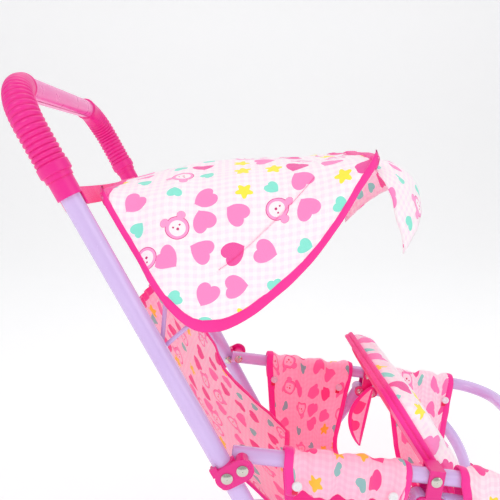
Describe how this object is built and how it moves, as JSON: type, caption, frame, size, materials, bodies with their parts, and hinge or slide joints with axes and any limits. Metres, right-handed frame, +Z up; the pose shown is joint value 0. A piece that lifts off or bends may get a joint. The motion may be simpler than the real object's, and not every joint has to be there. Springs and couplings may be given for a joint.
{
  "type": "doll stroller",
  "caption": "Folding twin doll stroller with a hooded canopy, two fabric seats in line, swivel casters and a ribbed arch handle.",
  "frame": {"origin": "on the floor under the middle of the stroller's overall box", "axes": "+X forward, +Y to the stroller's left, +Z up"},
  "size_m": [0.5201, 0.3004, 0.5983],
  "materials": {
    "lilac_tube": "gloss enamel",
    "lilac_wire": "gloss enamel",
    "grip_plastic": "satin",
    "light_pink_plastic": "gloss",
    "pink_plastic": "gloss",
    "tyre": "foamed, matt",
    "nickel": "nickel plate",
    "printed_cloth": "printed polyester",
    "white_snap": "gloss"
  },
  "bodies": {
    "frame": {"handle_tube": "lilac_tube", "grip_left": "grip_plastic", "grip_right": "grip_plastic", "collar_left": "light_pink_plastic", "collar_right": "light_pink_plastic", "handle_sleeve": "light_pink_plastic", "hinge_bracket_left": "pink_plastic", "hinge_bracket_right": "pink_plastic", "bracket_rivets": "nickel", "rail_pivot_rivets": "nickel", "lock_hook_left": "pink_plastic", "lock_hook_right": "pink_plastic", "bow_rivets": "nickel", "rear_backrest": "printed_cloth"},
    "canopy_bow": {"canopy_front_bow": "lilac_wire", "canopy_cover": "printed_cloth", "canopy_visor": "printed_cloth"},
    "canopy_middle_bow": {"canopy_mid_bow": "lilac_wire"},
    "seat_frame": {"seat_rail": "lilac_tube", "leg_bracket_left": "pink_plastic", "leg_bracket_right": "pink_plastic", "leg_bracket_rivets": "nickel", "leg_pivot_rivets": "nickel", "rear_seat": "printed_cloth", "front_seat": "printed_cloth", "front_backrest": "printed_cloth", "seat_snaps": "white_snap"},
    "rear_legs": {"rear_leg_left": "lilac_tube", "rear_leg_right": "lilac_tube", "rear_cross_rod": "nickel", "rear_rod_caps": "pink_plastic", "rear_foot_left": "pink_plastic", "rear_foot_right": "pink_plastic"},
    "front_legs": {"front_leg_left": "lilac_tube", "front_leg_right": "lilac_tube", "front_cross_rod": "nickel", "caster_socket_left": "pink_plastic", "caster_socket_right": "pink_plastic"},
    "rear_wheels_l": {"rear_wheels_left": "pink_plastic", "rear_tyres_left": "tyre", "rear_axle_left": "nickel"},
    "rear_wheels_r": {"rear_wheels_right": "pink_plastic", "rear_tyres_right": "tyre", "rear_axle_right": "nickel"},
    "caster_l": {"caster_fork_left": "pink_plastic"},
    "caster_r": {"caster_fork_right": "pink_plastic"},
    "front_wheels_l": {"front_wheels_left": "pink_plastic", "front_tyres_left": "tyre", "front_axle_left": "nickel"},
    "front_wheels_r": {"front_wheels_right": "pink_plastic", "front_tyres_right": "tyre", "front_axle_right": "nickel"}
  },
  "joints": [
    {"name": "frame_fold", "type": "hinge", "parent": "frame", "child": "seat_frame", "pos_m": [-0.07671, 0, 0.285], "axis": [0, -1, 0], "range_deg": [0, 100], "deforming": ["rear_seat", "rear_backrest"]},
    {"name": "rear_leg_fold", "type": "hinge", "parent": "seat_frame", "child": "rear_legs", "pos_m": [0.07637, 0, 0.24155], "axis": [0, -1, 0], "range_deg": [-45.5, 0]},
    {"name": "front_leg_fold", "type": "hinge", "parent": "seat_frame", "child": "front_legs", "pos_m": [0.09222, 0, 0.23935], "axis": [0, -1, 0], "range_deg": [-87.5, 0]},
    {"name": "canopy_fold", "type": "hinge", "parent": "frame", "child": "canopy_bow", "pos_m": [-0.14161, 0, 0.37977], "axis": [0, -1, 0], "range_deg": [0, 60.5], "deforming": ["canopy_cover", "canopy_visor"]},
    {"name": "canopy_middle_fold", "type": "hinge", "parent": "frame", "child": "canopy_middle_bow", "pos_m": [-0.14161, 0, 0.37977], "axis": [0, -1, 0], "range_deg": [0, 24.5]},
    {"name": "rear_wheel_spin_left", "type": "hinge", "parent": "rear_legs", "child": "rear_wheels_l", "pos_m": [-0.05127, 0.1082, 0.045], "axis": [0, 1, 0], "continuous": true},
    {"name": "rear_wheel_spin_right", "type": "hinge", "parent": "rear_legs", "child": "rear_wheels_r", "pos_m": [-0.05127, -0.1082, 0.045], "axis": [0, 1, 0], "continuous": true},
    {"name": "caster_swivel_left", "type": "hinge", "parent": "front_legs", "child": "caster_l", "pos_m": [0.22704, 0.1215, 0.0963], "axis": [0, 0, 1], "continuous": true},
    {"name": "caster_swivel_right", "type": "hinge", "parent": "front_legs", "child": "caster_r", "pos_m": [0.22704, -0.1215, 0.0963], "axis": [0, 0, 1], "continuous": true},
    {"name": "front_wheel_spin_left", "type": "hinge", "parent": "caster_l", "child": "front_wheels_l", "pos_m": [0.21504, 0.1215, 0.045], "axis": [0, 1, 0], "continuous": true},
    {"name": "front_wheel_spin_right", "type": "hinge", "parent": "caster_r", "child": "front_wheels_r", "pos_m": [0.21504, -0.1215, 0.045], "axis": [0, 1, 0], "continuous": true}
  ],
  "couplings": [
    {"joint": "rear_leg_fold", "follows": "frame_fold", "ratio": -0.45},
    {"joint": "front_leg_fold", "follows": "frame_fold", "ratio": -0.87},
    {"joint": "canopy_fold", "follows": "frame_fold", "ratio": 0.6},
    {"joint": "canopy_middle_fold", "follows": "frame_fold", "ratio": 0.24}
  ]
}
